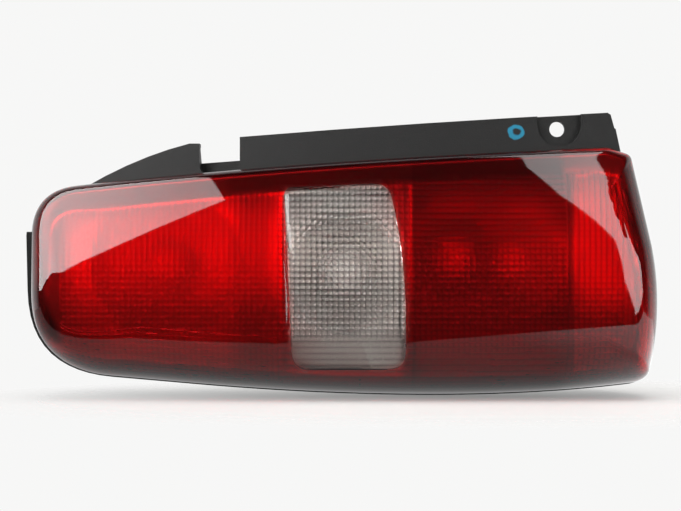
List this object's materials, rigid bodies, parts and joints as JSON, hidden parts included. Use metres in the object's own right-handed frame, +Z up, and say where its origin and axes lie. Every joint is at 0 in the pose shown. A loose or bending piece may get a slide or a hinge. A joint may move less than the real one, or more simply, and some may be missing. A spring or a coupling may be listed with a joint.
{
  "type": "tail light cluster",
  "caption": "Curved red lens with a clear reversing window on a dark moulded housing, with a notched fixing flange and a recessed screw pocket above it.",
  "frame": {"origin": "centre of the fixing screw hole, on the face that the screw head bears on", "axes": "+X runs along the lamp to its wide end, +Z points up across it, and the lens faces -Y"},
  "size_m": [0.3807, 0.1065, 0.1708],
  "materials": {
    "housing_plastic": "fine grained",
    "red_acrylic": "polished, see-through",
    "clear_acrylic": "polished, see-through",
    "bright_coating": "vacuum coated",
    "carrier_plastic": "satin",
    "seal_rubber": "dull",
    "seal_foam": "open foam",
    "zinc_steel": "zinc plated",
    "bulb_glass": "polished",
    "brass": "plain",
    "tinned_steel": "tinned"
  },
  "bodies": {
    "root": {"housing": "housing_plastic", "lens_red": "red_acrylic", "lens_clear": "clear_acrylic", "reflector": "bright_coating", "bulb_carrier": "carrier_plastic", "carrier_gasket": "seal_rubber", "body_gasket": "seal_foam", "locating_pegs": "zinc_steel", "fog_bulb_glass": "bulb_glass", "fog_bulb_cap": "brass", "reverse_bulb_glass": "bulb_glass", "reverse_bulb_cap": "brass", "stop_bulb_glass": "bulb_glass", "stop_bulb_cap": "brass", "tail_bulb_glass": "bulb_glass", "tail_bulb_cap": "brass", "contact_springs": "brass", "ground_strip": "tinned_steel", "feed_strips": "tinned_steel", "connector_shroud": "carrier_plastic", "connector_blades": "brass"}
  },
  "joints": []
}
